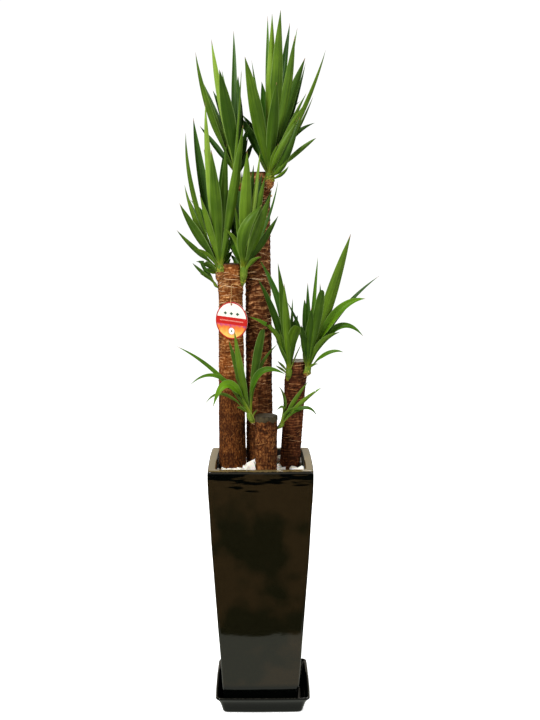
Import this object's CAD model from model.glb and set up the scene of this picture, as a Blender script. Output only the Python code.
import math
import random
from functools import partial

import bmesh
import bpy
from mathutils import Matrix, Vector, noise
from mathutils.bvhtree import BVHTree


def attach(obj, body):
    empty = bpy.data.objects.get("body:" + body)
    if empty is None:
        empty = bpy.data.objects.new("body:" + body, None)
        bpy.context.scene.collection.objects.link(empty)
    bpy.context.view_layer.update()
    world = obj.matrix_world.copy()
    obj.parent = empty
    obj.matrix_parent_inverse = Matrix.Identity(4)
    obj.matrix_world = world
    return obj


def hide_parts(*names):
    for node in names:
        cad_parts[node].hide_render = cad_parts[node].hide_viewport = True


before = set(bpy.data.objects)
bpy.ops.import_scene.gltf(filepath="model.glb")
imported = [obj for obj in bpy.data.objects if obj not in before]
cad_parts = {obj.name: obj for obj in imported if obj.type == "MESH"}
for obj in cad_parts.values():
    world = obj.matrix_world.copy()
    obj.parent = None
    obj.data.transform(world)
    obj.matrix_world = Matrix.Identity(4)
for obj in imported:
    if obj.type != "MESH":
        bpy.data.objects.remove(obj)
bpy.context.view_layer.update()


# ---------------------------------------------------------------- saucer
# The square tray under the pot. It is slip-cast stoneware with a flared wall and a thin turned-out lip,
# dipped in the same dark glaze as the pot, so its sides are a little bowed and its edges are soft.
SAUCER_PROFILE_MM = (  # half width, height, from the underside up the outside, over the lip and down inside
    (0, 0.0), (60, 0.0), (94, 0.0), (98.5, 0.3), (101.6, 2.2), (102.8, 5.0), (104.6, 13.0), (107.0, 21.0),
    (109.2, 27.5), (112.0, 33.0), (115.2, 37.8), (118.2, 41.0), (119.6, 43.0), (119.9, 45.2), (119.2, 47.0),
    (117.8, 47.4), (115.6, 46.2), (112.6, 42.6), (109.0, 36.0), (105.6, 28.0), (103.2, 20.0), (101.0, 13.5),
    (98.0, 10.8), (92.0, 10.0), (60, 10.0), (0, 10.0),
)
SAUCER_BASE_MM = 90  # half width of the flat part of its base, whose sides are not bowed
SAUCER_CORNER_MM = 12.0
SAUCER_BOW_MM = 1.5
SAUCER_WAVER = (0.0004, 0.05)  # how far its surface wavers in and out, and over what length


def srgb(code):
    """A colour given as six sRGB hex digits, as linear RGBA."""
    channels = [int(code[i:i + 2], 16) / 255 for i in (0, 2, 4)]
    return (*[c / 12.92 if c <= 0.04045 else ((c + 0.055) / 1.055) ** 2.4 for c in channels], 1.0)


def add_node(tree, kind, inputs=None, stops=(), **settings):
    """Adds a node with its settings and its ramp's (position, hex) stops, and sets or links its inputs. kind
    may leave out ShaderNode. A node given as an input's value is linked from its first output in use, and a
    list of nodes is linked one after the other."""
    node = tree.nodes.new(kind if "Node" in kind else f"ShaderNode{kind}")
    for key, value in settings.items():
        setattr(node, key, value)
    for index, (position, code) in enumerate(stops):
        element = node.color_ramp.elements[index] if index < 2 else node.color_ramp.elements.new(position)
        element.position = position
        element.color = srgb(code)
    for key, values in (inputs or {}).items():
        for value in values if isinstance(values, list) else [values]:
            if isinstance(value, bpy.types.Node):
                value = next(socket for socket in value.outputs if socket.enabled)
            if isinstance(value, bpy.types.NodeSocket):
                tree.links.new(value, node.inputs[key])
            else:
                node.inputs[key].default_value = value
    return node


def new_material(name):
    """An empty material, and add_node for its tree."""
    mat = bpy.data.materials.new(name)
    mat.use_nodes = True
    mat.node_tree.nodes.clear()
    return mat, partial(add_node, mat.node_tree)


def surface(node, roughness, ior, colour, bump=None, shine=0.5, **more):
    """Ends a material in a Principled surface with its typical roughness and index of refraction."""
    inputs = {"Roughness": roughness, "IOR": ior, "Base Color": colour, "Specular IOR Level": shine, **more}
    if bump:
        inputs["Normal"] = bump
    node("OutputMaterial", {"Surface": node("BsdfPrincipled", inputs)})


def skin(rings, close_start=True, close_end=True, around=False):
    """Verts and faces that join rings of equal length in order; around joins the last ring to the first."""
    count = len(rings[0])
    verts = [v for ring in rings for v in ring]
    faces = []
    for row in range(len(rings) if around else len(rings) - 1):
        a, b = row * count, (row + 1) % len(rings) * count
        faces += [(a + i, a + (i + 1) % count, b + (i + 1) % count, b + i) for i in range(count)]
    if close_start and not around:
        faces.append(tuple(reversed(range(count))))
    if close_end and not around:
        faces.append(tuple(range(len(verts) - count, len(verts))))
    return verts, faces


def make_piece(name, verts, faces, mat, crease=40):
    """A mesh object with its place in its mesh, smooth except at edges sharper than crease degrees."""
    mesh = bpy.data.meshes.new(name)
    mesh.from_pydata([tuple(v) for v in verts], [], faces)
    bm = bmesh.new()
    bm.from_mesh(mesh)
    bmesh.ops.recalc_face_normals(bm, faces=bm.faces)
    bm.to_mesh(mesh)
    bm.free()
    mesh.materials.append(mat)
    mesh.shade_smooth()
    mesh.set_sharp_from_angle(angle=math.radians(crease))
    obj = bpy.data.objects.new(name, mesh)
    bpy.context.scene.collection.objects.link(obj)
    return obj


def finish_piece(obj, slot, *nodes):
    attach(obj, "root")
    if nodes:
        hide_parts(*nodes)


def square_ring(half, corner, z, bow=0.0, centre_x=0.0, side_steps=14, corner_steps=7):
    """A level ring round a rounded square whose sides swell out by bow at their middle."""
    points = []
    corner = min(corner, half * 0.9)
    flat = max(half - corner, 1e-5)
    for side in range(4):
        turn = side * math.pi / 2
        outline = [(half + bow * (1 - (2 * i / side_steps - 1) ** 2), flat * (2 * i / side_steps - 1))
                   for i in range(side_steps)]
        outline += [(flat + corner * math.cos(a), flat + corner * math.sin(a))
                    for a in (j * math.pi / 2 / corner_steps for j in range(corner_steps))]
        for x, y in outline:
            points.append(Vector((centre_x + x * math.cos(turn) - y * math.sin(turn),
                                  x * math.sin(turn) + y * math.cos(turn), z)))
    return points


def unevenly(rings, reach, size):
    """Pushes every point in or out a little, as hand-dipped glaze and cast clay are never quite flat."""
    for ring in rings:
        for p in ring:
            p += Vector((p.x, p.y, 0)).normalized() * reach * noise.noise(p / size)
    return rings


def glazed_stoneware(name, thick, thin, roughness, shine, bare_from, bare_to, bare):
    """Fired gloss glaze: green-black in broad patches where it lies thick, black where it sagged below the
    lip and at the foot, browner where it ran thin, and on the lip, between the two heights given, so thin
    that the clay shows through in a mottled tan. The clay inside, left unglazed, is dark and matt."""
    mat, node = new_material(name)
    place = node("TexCoord").outputs["Object"]
    pooling = node("TexNoise", {"Vector": place, "Scale": 1 / 0.17, "Detail": 3.0})
    depth = node("ValToRGB", {0: pooling}, stops=((0.44, thick), (0.52, thin)))
    height = node("SeparateXYZ", {0: place}).outputs["Z"]
    mottle = node("TexNoise", {"Vector": place, "Scale": 1 / 0.006, "Detail": 4.0})
    lifted = node("Math", {0: mottle, 1: 0.004, 2: height}, operation="MULTIPLY_ADD")
    on_lip = node("MapRange", {0: lifted, 1: bare_from + 0.002, 2: bare_to + 0.002})
    hanging = node("Mapping", {"Vector": place, "Scale": (1 / 0.09, 1 / 0.09, 1 / 0.014)})
    sagging = node("TexNoise", {"Vector": hanging, "Scale": 1.0, "Detail": 2.0})
    sagged = node("Math", {0: sagging, 1: 0.15, 2: height}, operation="MULTIPLY_ADD")
    pooled = node("MapRange", {0: sagged, 1: bare_from + 0.050, 2: bare_from + 0.056})
    at_foot = node("MapRange", {0: height, 1: 0.076, 2: 0.066})
    black = node("Math", {0: pooled, 1: at_foot}, operation="MAXIMUM")
    under_lip = node("Mix", {0: black, 6: depth, 7: srgb("030403")}, data_type="RGBA")
    glazed = node("Mix", {0: on_lip, 6: under_lip, 7: srgb(bare)}, data_type="RGBA")
    inside = node("Attribute", attribute_name="unglazed").outputs["Fac"]
    clay = node("Mix", {0: inside, 6: glazed, 7: srgb("0e0805")}, data_type="RGBA")
    gloss = node("MapRange", {0: inside, 3: roughness, 4: 0.85})
    peel = node("TexNoise", {"Vector": place, "Scale": 1 / 0.016, "Detail": 3.0})
    bump = node("Bump", {"Height": peel, "Strength": 0.09, "Distance": 0.001})
    surface(node, gloss, 1.52, clay, bump, shine)
    return mat


saucer_rings = []
for half, height in SAUCER_PROFILE_MM:
    corner = SAUCER_CORNER_MM / 1000 * min(1, half / SAUCER_BASE_MM + 0.05)
    bow = SAUCER_BOW_MM / 1000 * (half > SAUCER_BASE_MM)
    saucer_rings.append(square_ring(max(half, 0.4) / 1000, corner, height / 1000, bow))
saucer_glaze = glazed_stoneware("black_glazed_stoneware", thick="0b0c08", thin="11120c", roughness=0.10,
                                shine=0.27, bare_from=0.0462, bare_to=0.0476, bare="2c2a24")
saucer = make_piece("glazed_saucer", *skin(unevenly(saucer_rings, *SAUCER_WAVER)), saucer_glaze, crease=60)
finish_piece(saucer, "black_glaze", "saucer")


# ---------------------------------------------------------------- pot
# The tall planter: cast stoneware with gently bowed, tapering sides, a flat rim with soft edges and a
# drain hole. The brown-black glaze runs thinner over the rim and hangs in faint curtains below it.
POT_CENTRE_X = -0.005
POT_OUTSIDE_MM = (  # half width, height
    (90.0, 10.4), (92.4, 11.4), (94.0, 14.0), (94.4, 18.0), (97.1, 60.0), (103.0, 153.0), (107.3, 219.0),
    (111.7, 284.0), (116.0, 348.0), (120.1, 412.0), (123.6, 475.0), (126.8, 537.0), (128.9, 572.0),
    (130.0, 600.0), (130.4, 622.0), (130.2, 632.0), (129.4, 637.4), (127.6, 640.2), (125.2, 641.0),
)
POT_INSIDE_MM = (
    (113.0, 641.0), (110.8, 640.3), (109.4, 638.4), (108.6, 634.0), (107.6, 600.0), (105.0, 480.0),
    (94.0, 260.0), (80.5, 62.0), (79.0, 56.5), (76.0, 55.0),
)
POT_CORNER_MM = 6.5
POT_BOW_MM = 2.0
POT_WAVER = (0.0006, 0.09)
FOOT_INNER_MM = 77.5
FOOT_RECESS_MM = 4.0
DRAIN_RADIUS_MM = 15.0
GLAZED_DOWN_TO = 0.638  # the height on the inner wall where the glaze ends
MID_WALL = (0.0825, 0.050)  # a half width between the wall's two faces: at height 0, and its growth upwards


def between(table, steps=None, apart=None):
    """More rows for a table, on a smooth curve through the ones it has: so many steps for each, or some
    distance apart."""
    rows = [Vector(row) for row in table]
    made = []
    for before, here, there, after in zip([rows[0], *rows], rows, rows[1:], [*rows[2:], rows[-1]]):
        count = steps or max(1, round((there - here).length / apart))
        for t in [i / count for i in range(count)]:
            made.append(0.5 * (2 * here + (there - before) * t
                               + (2 * before - 5 * here + 4 * there - after) * t ** 2
                               + (3 * here - before - 3 * there + after) * t ** 3))
    return made + [rows[-1]]


def mark_piece(piece, domain="POINT", **marks):
    """Stores a number for each of a piece's vertices or faces under each name, for its material to read."""
    for name, numbers in marks.items():
        piece.data.attributes.new(name, "FLOAT", domain).data.foreach_set("value", numbers)


def pot_ring(half, height, bow=POT_BOW_MM):
    return square_ring(half / 1000, POT_CORNER_MM / 1000, height / 1000, bow / 1000, POT_CENTRE_X, 24, 8)


def drain_ring(height):
    """A round ring with as many points as the pot's square ones."""
    ring = []
    for p in pot_ring(40, height, bow=0):
        angle = math.atan2(p.y, p.x - POT_CENTRE_X)
        ring.append(Vector((POT_CENTRE_X + math.cos(angle) * DRAIN_RADIUS_MM / 1000,
                            math.sin(angle) * DRAIN_RADIUS_MM / 1000, height / 1000)))
    return ring


foot = POT_OUTSIDE_MM[0][1]
pot_rings = [drain_ring(foot + FOOT_RECESS_MM), pot_ring(FOOT_INNER_MM - 1, foot + FOOT_RECESS_MM),
             pot_ring(FOOT_INNER_MM, foot)]
pot_rings += [pot_ring(half, height) for half, height in between(POT_OUTSIDE_MM, 4) + list(POT_INSIDE_MM)]
pot_rings.append(drain_ring(POT_INSIDE_MM[-1][1]))
pot_glaze = glazed_stoneware("brown_black_glazed_stoneware", thick="131208", thin="231b0e", roughness=0.05,
                             shine=0.5, bare_from=0.6385, bare_to=0.6405, bare="6a5a38")
pot = make_piece("glazed_pot", *skin(unevenly(pot_rings, *POT_WAVER), around=True), pot_glaze, crease=50)
mark_piece(pot, unglazed=[
    float(v.co.z < GLAZED_DOWN_TO
          and max(abs(v.co.x - POT_CENTRE_X), abs(v.co.y)) < MID_WALL[0] + v.co.z * MID_WALL[1])
    for v in pot.data.vertices])
finish_piece(pot, "brown_black_glaze", "pot")


# ---------------------------------------------------------------- drain net and drainage layer
# A moulded plastic mesh keeps the loose pumice from falling through the drain hole. Both are buried.
# Black moulded polypropylene: satin, with a faint grain.
net_plastic, node = new_material("moulded_polypropylene")
net_grain = node("TexNoise", {"Vector": node("TexCoord").outputs["Object"], "Scale": 1 / 0.0011})
surface(node, 0.55, 1.49, node("ValToRGB", {0: net_grain}, stops=((0.3, "121212"), (0.7, "1e1e1e"))))

# Crushed pumice: pale grey-buff grains of about 9 mm with dark gaps between them, quite matt.
pumice, node = new_material("crushed_pumice")
pumice_grain = node("TexVoronoi", {"Vector": node("TexCoord").outputs["Object"], "Scale": 1 / 0.009})
surface(node, 0.95, 1.5, node("ValToRGB", {0: pumice_grain}, stops=((0.0, "bdb5a4"), (0.8, "6f675a"))))

for node, mat, slot in (("drain_net", net_plastic, "black_plastic"), ("drainage_gravel", pumice, "pumice")):
    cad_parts[node].data.materials.clear()
    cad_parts[node].data.materials.append(mat)


# ---------------------------------------------------------------- canes
# Four sawn lengths of yucca stem. Each is turned row by row: leaf scars make level ridges, old leaf
# bases leave shaggy fibre between them, and low down the bark weathers to plain upright cork.
STONE_LEVEL = 0.622
SOIL_LEVEL = 0.606
CANE_FOOT = 0.480
AROUND = 160
ROW_STEP = 0.0019
CANES = {  # foot x, y; top x, y, z; foot and top radius; ring pitch and height; height where plain cork ends
    "left_cane": ((-0.0774, 0.020), (-0.0805, 0.020, 1.138), 0.0350, 0.0292, 0.0085, 0.0013, 0.84),
    "tall_cane": ((-0.0070, 0.050), (-0.0126, 0.050, 1.365), 0.0345, 0.0305, 0.0165, 0.0017, 0.70),
    "right_cane": ((0.071, 0.030), (0.088, 0.030, 0.890), 0.0258, 0.0262, 0.0070, 0.0009, 0.60),
    "short_cane": ((0.009, -0.050), (0.009, -0.050, 0.762), 0.0275, 0.0275, 0.0140, 0.0008, 0.90),
}
TAG_CENTRE = Vector((-0.077, -0.0205, 0.9995))  # the hang tag's place: the bark behind it is bare of strands
TAG_RADIUS = 0.047
TAG_CLEAR = 0.006
KNUCKLES = {  # where shoots come out: x, y, z and the shoot stem's radius
    "left_cane": ((-0.103, 0.004, 1.088, 0.0110), (-0.108, 0.004, 1.078, 0.0045),
                  (-0.052, 0.010, 1.082, 0.0085)),
    "tall_cane": ((-0.034, 0.042, 1.305, 0.0100), (0.010, 0.040, 1.318, 0.0120)),
    "right_cane": ((0.066, 0.016, 0.838, 0.0090), (0.106, 0.016, 0.850, 0.0090)),
    "short_cane": ((-0.018, -0.050, 0.742, 0.0065), (0.034, -0.050, 0.728, 0.0050)),
}
KNUCKLE_SWELL, KNUCKLE_REACH = 0.30, 2.2  # how high and how far the bark swells there, in stem radii
# For each cane: its slot, how far the rings show, the height below which they are worn, how far the cork's
# patches show; the ringed bark's groove, middle and ridge; then the cork's crack, middle and crest.
BARK = {
    "left_cane": ("bark_fibrous", 1.2, 0.96, 0.5, "381804", "804418", "e0a86c", "2e1406", "52290c", "7c4a20"),
    "tall_cane": ("bark_dark", 1.2, 0.97, 0.3, "1e0c04", "5a2e12", "c89260", "2a1206", "502a10", "7e4c22"),
    "right_cane": ("bark_ringed", 1.1, 0.62, 0.2, "1a0a04", "4c2410", "94603a", "1e0c04", "482410", "704022"),
    "short_cane": ("bark_cork", 0.5, 0.62, 1.4, "2e1405", "5e3212", "9c683c", "2a1306", "54290f", "8a5a30"),
}


def cane_middle(name, z):
    foot, top = CANES[name][:2]
    share = (z - STONE_LEVEL) / (top[2] - STONE_LEVEL)
    return Vector((foot[0] + (top[0] - foot[0]) * share, foot[1] + (top[1] - foot[1]) * share, z))


def smooth_step(low, high, value):
    t = min(1.0, max(0.0, (value - low) / (high - low)))
    return t * t * (3 - 2 * t)


def bark_at(name, z, angle):
    """The cane's radius at a height and bearing, and how far it is ridge, cork and open crack there."""
    foot, top, foot_radius, top_radius, pitch, height, cork_to = CANES[name]
    way = Vector((math.cos(angle), math.sin(angle), 0)) * 1.6
    seed = Vector((len(name) * 3.1, foot[0] * 90, 0))

    def chance(round_about, up=0.0):
        return noise.noise(seed + way * round_about + Vector((0, 0, up)))

    radius = foot_radius + (top_radius - foot_radius) * max(0.0, (z - STONE_LEVEL) / (top[2] - STONE_LEVEL))
    radius += 0.0009 * chance(0.6, z * 14)  # a slow unevenness
    for x, y, level, stem in KNUCKLES[name]:
        middle = cane_middle(name, level)
        bearing = math.atan2(y - middle.y, x - middle.x)
        off = math.atan2(math.sin(angle - bearing), math.cos(angle - bearing)) * radius
        away = math.hypot(off, z - level) / (KNUCKLE_REACH * stem)
        radius += KNUCKLE_SWELL * stem * math.exp(-away * away)
    # the rings rise and fall on their way round, are steep below, slope off above and break here and there
    sway = chance(0.8, z * 7) * 0.60
    sway += chance(2.2, z * 26) * 0.10
    turn = (z / pitch + sway) % 1.0
    lip = (1 - turn) ** 3.0 * smooth_step(0.0, 0.09, turn)
    broken = smooth_step(-0.35, 0.25, chance(2.4, z / pitch * 0.9))
    # lower down they fade into cork, which has open upright cracks and a fine shag
    cork = 1 - smooth_step(cork_to - 0.07, cork_to + 0.07, z + 0.03 * chance(1))
    split = 1 - abs(chance(11, z * 60)) * 3.6 + 0.5 * chance(18, z * 190)
    ridge = lip * (0.25 + 0.75 * broken) * (1 - 0.75 * cork)
    radius += height * ridge - 0.0010 * max(0.0, split) * (0.25 + 0.75 * cork)
    return radius + (0.0006 + 0.0003 * cork) * chance(12, z * 280), ridge, cork, max(0.0, split)


def fibrous_bark(name, ringing, worn_below, patching, groove, middle, crest, crack, cork_middle, cork_crest):
    """Dry fibrous bark: dark grooves and straw-coloured torn ridges, and lower down a grainy cork, dark in
    its upright cracks and tan on its crests. It is quite matt, so its colours stay deep."""
    mat, node = new_material(f"{name}_fibrous_bark")
    place = node("TexCoord").outputs["Object"]
    ridge, cork, split = [node("Attribute", attribute_name=key).outputs["Fac"]
                          for key in ("ridge", "cork", "split")]
    across = node("Mapping", {"Vector": place, "Scale": (1 / 0.017, 1 / 0.017, 1 / 0.0026)})
    torn = node("TexNoise", {"Vector": across, "Scale": 1.0, "Detail": 4.0, "Roughness": 0.65})
    upright = node("Mapping", {"Vector": place, "Scale": (1 / 0.0055, 1 / 0.0055, 1 / 0.012)})
    grain = node("TexNoise", {"Vector": upright, "Scale": 1.0, "Detail": 5.0, "Roughness": 0.7})
    rough = node("Math", {0: torn, 1: grain}, operation="ADD")
    lit = node("Math", {0: ridge, 1: torn}, operation="MULTIPLY")
    shade = node("Math", {0: rough, 1: 1.15, 2: -0.90}, operation="MULTIPLY_ADD")
    height = node("SeparateXYZ", {0: place}).outputs["Z"]
    crisp = node("MapRange", {0: height, 1: worn_below - 0.17, 2: worn_below, 3: 0.45 * ringing, 4: ringing})
    level = node("Math", {0: lit, 1: crisp, 2: shade}, operation="MULTIPLY_ADD")
    ringed = node("ValToRGB", {0: level}, stops=((0.0, groove), (0.32, middle), (0.85, crest)))
    levelled = node("Mapping", {"Vector": place, "Scale": (1 / 0.032, 1 / 0.032, 1 / 0.011)})
    worn = node("TexNoise", {"Vector": levelled, "Scale": 1.0, "Detail": 6.0, "Roughness": 0.65})
    patches = node("Math", {0: worn, 1: patching, 2: -0.5 * patching}, operation="MULTIPLY_ADD")
    dug = node("Math", {0: split, 1: -0.22, 2: grain}, operation="MULTIPLY_ADD")
    dug = node("Math", {0: dug, 1: patches}, operation="ADD")
    corky = node("ValToRGB", {0: dug}, stops=((0.24, crack), (0.42, cork_middle), (0.66, cork_crest)))
    # torn bits and pits in the cork, less than a millimetre wide and drawn as coarse as they need to show
    bits_at = node("Mapping", {"Vector": place, "Scale": (1 / 0.0030, 1 / 0.0030, 1 / 0.0055)})
    bits = node("TexNoise", {"Vector": bits_at, "Scale": 1.0, "Detail": 2.0})
    here = node("MapRange", {0: worn, 1: 0.40, 2: 0.60, 3: 0.12, 4: 0.70})
    torn_bits = node("MapRange", {0: bits, 1: 0.54, 2: 0.68, 3: 0.0, 4: here})
    speckled = node("Mix", {0: torn_bits, 6: corky, 7: srgb("a06a38")}, data_type="RGBA")
    pits = node("MapRange", {0: bits, 1: 0.47, 2: 0.34, 3: 0.0, 4: 0.75})
    pitted = node("Mix", {0: pits, 6: speckled, 7: srgb(crack)}, data_type="RGBA")
    bark = node("Mix", {0: cork, 6: ringed, 7: pitted}, data_type="RGBA")
    blotch = node("TexNoise", {"Vector": place, "Scale": 1 / 0.030, "Detail": 4.0})
    patch = node("MapRange", {0: blotch, 1: 0.45, 2: 0.62, 3: 0.0, 4: 0.55})
    stained = node("Mix", {0: patch, 6: bark, 7: srgb(crack)}, data_type="RGBA")
    bump = node("Bump", {"Height": rough, "Strength": 0.8, "Distance": 0.0016})
    surface(node, 0.9, 1.45, stained, bump, shine=0.1)
    return mat


def mark_outward(piece, middle_at):
    """Stores which way is straight out from the stem's middle, for the strands that lie on it."""
    ways = [v.co - middle_at(v.co.z) for v in piece.data.vertices]
    outward = piece.data.attributes.new("outward", "FLOAT_VECTOR", "POINT")
    outward.data.foreach_set("vector", [c for way in ways for c in Vector((way.x, way.y, 0.0)).normalized()])


def make_bark(name, mat):
    """The cane's bark as rings of points, each marked with what it is and whether the tag covers it."""
    top_z = CANES[name][1][2]
    rows = round((top_z - CANE_FOOT) / ROW_STEP)
    rings, marks = [], []
    for row in range(rows + 1):
        z = CANE_FOOT + (top_z - CANE_FOOT) * row / rows
        ring = []
        for i in range(AROUND):
            angle = 2 * math.pi * i / AROUND
            reach, *mark = bark_at(name, z, angle)
            ring.append(cane_middle(name, z) + Vector((math.cos(angle), math.sin(angle), 0)) * reach)
            marks.append((*mark, float((ring[-1] - TAG_CENTRE).length < TAG_RADIUS + TAG_CLEAR)))
        rings.append(ring)
    bark = make_piece(f"{name}_bark", *skin(rings), mat, crease=70)
    ridge, cork, split, covered = zip(*marks)
    mark_piece(bark, ridge=ridge, cork=cork, split=split, covered=covered)
    mark_outward(bark, lambda z: cane_middle(name, z))
    return bark


for name, (slot, *look) in BARK.items():
    finish_piece(make_bark(name, fibrous_bark(name, *look)), slot, name)


# ---------------------------------------------------------------- bark strands
# Shreds of old leaf base cling to the ringed bark: flat, straw-coloured strands that lie round the stem,
# thickest near the top of the left cane, with their torn ends lifting a little.
STRANDS = {  # cane; lowest, highest; strands per m2, thickness in mm, size, lean; darkest and lightest tone
    "left_cane_strands": ("left_cane", 0.88, 1.136, 10000, 0.70, 0.9, 0.0, 0.30, 1.0),
    "left_cane_slivers": ("left_cane", 0.74, 0.90, 4500, 0.55, 0.7, 0.0, 0.05, 0.65),
    "left_cane_flecks": ("left_cane", 0.645, 0.87, 9000, 1.00, 0.34, 1.15, 0.20, 0.66),
    "tall_cane_strands": ("tall_cane", 0.96, 1.362, 4000, 0.75, 0.9, 0.0, 0.45, 1.05),
    "tall_cane_clumps": ("tall_cane", 1.00, 1.330, 450, 1.80, 1.0, 0.0, 0.80, 1.05),
    "tall_cane_low_strands": ("tall_cane", 0.70, 0.98, 900, 0.70, 1.0, 0.0, 0.4, 0.9),
    "tall_cane_slivers": ("tall_cane", 0.66, 1.362, 6000, 0.55, 0.8, 0.0, 0.0, 0.75),
    "right_cane_strands": ("right_cane", 0.63, 0.886, 4500, 0.45, 1.0, 0.0, 0.0, 0.80),
    "short_cane_slivers": ("short_cane", 0.625, 0.748, 500, 0.45, 1.0, 0.0, 0.05, 0.7),
    "short_cane_flecks": ("short_cane", 0.645, 0.745, 6000, 1.00, 0.34, 0.80, 0.10, 0.66),
}
STRAND_LOOSE = 1.12  # a strand curves a little less than the stem, so that its ends lift
STRAND_SWEEPS = (0.35, 0.60, 0.90, 1.30)  # how far round the stem a strand reaches, in radians
STRANDS_APART = 0.0022
STRAND_WAVE = 0.011  # how far a strand wanders up and down


def new_tree(name, inputs):
    """A Geometry Nodes tree with the named inputs at the values given, and add_node for it."""
    tree = bpy.data.node_groups.new(name, "GeometryNodeTree")
    tree.is_modifier = True
    for in_out in ("INPUT", "OUTPUT"):
        tree.interface.new_socket("Geometry", in_out=in_out, socket_type="NodeSocketGeometry")
    for label, value in inputs.items():
        kind = {float: "Float", int: "Int", bpy.types.Material: "Material"}[type(value)]
        socket = tree.interface.new_socket(label, in_out="INPUT", socket_type=f"NodeSocket{kind}")
        socket.default_value = value
    return tree, partial(add_node, tree)


def grow(base, tree, name, values, keep=False):
    """Runs a node tree on base with values for its named inputs, and returns the result as a plain object."""
    modifier = base.modifiers.new(name, "NODES")
    modifier.node_group = tree
    for item in tree.interface.items_tree:
        if item.in_out == "INPUT" and item.name in values:
            modifier[item.identifier] = values[item.name]
    evaluated = base.evaluated_get(bpy.context.evaluated_depsgraph_get())
    mesh = bpy.data.meshes.new_from_object(evaluated)
    base.modifiers.remove(modifier)
    mesh.name = name
    made = bpy.data.objects.new(name, mesh)
    bpy.context.scene.collection.objects.link(made)
    if not keep:
        bpy.data.objects.remove(base)
    return made


# Dry leaf-base straw: split, papery fibre, from dark brown to pale straw, with hardly any shine.
straw, node = new_material("dry_leaf_base_straw")
straw_colour = node("ValToRGB", {0: node("Attribute", attribute_name="tone").outputs["Fac"]},
                    stops=((0.0, "2e1204"), (0.35, "763e14"), (0.7, "bc8248"), (1.0, "eccaa0")))
surface(node, 0.75, 1.45, straw_colour, shine=0.15)

strand_tree, node = new_tree("bark_strands", {
    "Lowest": 0.0, "Highest": 1.0, "Strands per m2": 1000.0, "Stem radius": 0.03, "Thickness": 0.0008,
    "Size": 1.0, "Lean": 0.0, "Darkest": 0.0, "Lightest": 1.0, "Finish": straw})
given = node("NodeGroupInput").outputs
place = node("GeometryNodeInputPosition")
height = node("SeparateXYZ", {0: place}).outputs["Z"]
upness = node("SeparateXYZ", {0: node("GeometryNodeInputNormal").outputs[0]}).outputs["Z"]
above = node("FunctionNodeCompare", {0: height, 1: given["Lowest"]}, operation="GREATER_THAN")
below = node("FunctionNodeCompare", {0: height, 1: given["Highest"]}, operation="LESS_THAN")
flat_off = node("Math", {0: upness}, operation="ABSOLUTE")
sideways = node("FunctionNodeCompare", {0: flat_off, 1: 0.8}, operation="LESS_THAN")
inside = node("FunctionNodeBooleanMath", {0: above, 1: below}, operation="AND")
chosen = node("FunctionNodeBooleanMath", {0: inside, 1: sideways}, operation="AND")
tufts = node("TexNoise", {"Scale": 26.0, "Detail": 2.0})
thick_or_thin = node("MapRange", {0: tufts, 1: 0.42, 2: 0.60, 3: 0.1})
covered = node("GeometryNodeInputNamedAttribute", {"Name": "covered"}, data_type="FLOAT")
bare = node("Math", {0: 1.0, 1: covered}, operation="SUBTRACT")
share = node("Math", {0: thick_or_thin, 1: bare}, operation="MULTIPLY")
spots = node("GeometryNodeDistributePointsOnFaces",
             {"Mesh": given["Geometry"], "Selection": chosen, "Distance Min": STRANDS_APART,
              "Density Max": given["Strands per m2"], "Density Factor": share, "Seed": 11},
             distribute_method="POISSON")
profile = node("GeometryNodeCurvePrimitiveCircle", {"Resolution": 4, "Radius": given["Thickness"]})
back = node("Math", {0: given["Stem radius"], 1: -1.0, 2: given["Thickness"]}, operation="MULTIPLY_ADD")
to_skin = node("CombineXYZ", {"X": back})
strips = []
for number, sweep in enumerate(STRAND_SWEEPS):
    arc = node("GeometryNodeCurveArc", {"Resolution": 6 + 2 * number, "Radius": given["Stem radius"],
                                        "Start Angle": -sweep / 2, "Sweep Angle": sweep})
    seated = node("GeometryNodeTransform", {"Geometry": arc, "Translation": to_skin})
    wander = node("TexNoise", {"Vector": place, "W": 3.7 * number, "Scale": 70.0}, noise_dimensions="4D")
    centred = node("Math", {0: wander, 1: STRAND_WAVE, 2: -STRAND_WAVE / 2}, operation="MULTIPLY_ADD")
    offset = node("CombineXYZ", {"Z": centred})
    waved = node("GeometryNodeSetPosition", {"Geometry": seated, "Offset": offset})
    taper = node("Math", {0: node("GeometryNodeSplineParameter"), 1: math.pi}, operation="MULTIPLY")
    sine = node("Math", {0: taper}, operation="SINE")
    fat = node("Math", {0: sine, 1: 0.75, 2: 0.25}, operation="MULTIPLY_ADD")
    tapered = node("GeometryNodeSetCurveRadius", {"Curve": waved, "Radius": fat})
    strip = node("GeometryNodeCurveToMesh",
                 {"Curve": tapered, "Profile Curve": profile, "Scale": fat, "Fill Caps": True})
    strips.append(node("GeometryNodeGeometryToInstance", {0: strip}))
outward = node("GeometryNodeInputNamedAttribute", {"Name": "outward"}, data_type="FLOAT_VECTOR")
facing = node("FunctionNodeAlignRotationToVector", {"Vector": outward}, axis="X", pivot_axis="Z")
tilt = node("FunctionNodeRandomValue", {0: (-0.30, -0.05, -0.10), 1: (0.30, 0.05, 0.10), "Seed": 5},
            data_type="FLOAT_VECTOR")
lean = node("CombineXYZ", {"X": given["Lean"]})
leant = node("VectorMath", {0: tilt, 1: lean}, operation="ADD")
as_turn = node("FunctionNodeEulerToRotation", {0: leant})
turned = node("FunctionNodeRotateRotation", {0: facing, 1: as_turn}, rotation_space="LOCAL")
uneven = node("FunctionNodeRandomValue", {2: 0.8, 3: 1.2, "Seed": 6}, data_type="FLOAT")
size = node("Math", {0: uneven, 1: given["Size"]}, operation="MULTIPLY")
kinds = node("GeometryNodeJoinGeometry", {0: strips})
laid = node("GeometryNodeInstanceOnPoints",
            {"Points": spots, "Instance": kinds, "Pick Instance": True, "Rotation": turned, "Scale": size})
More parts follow.
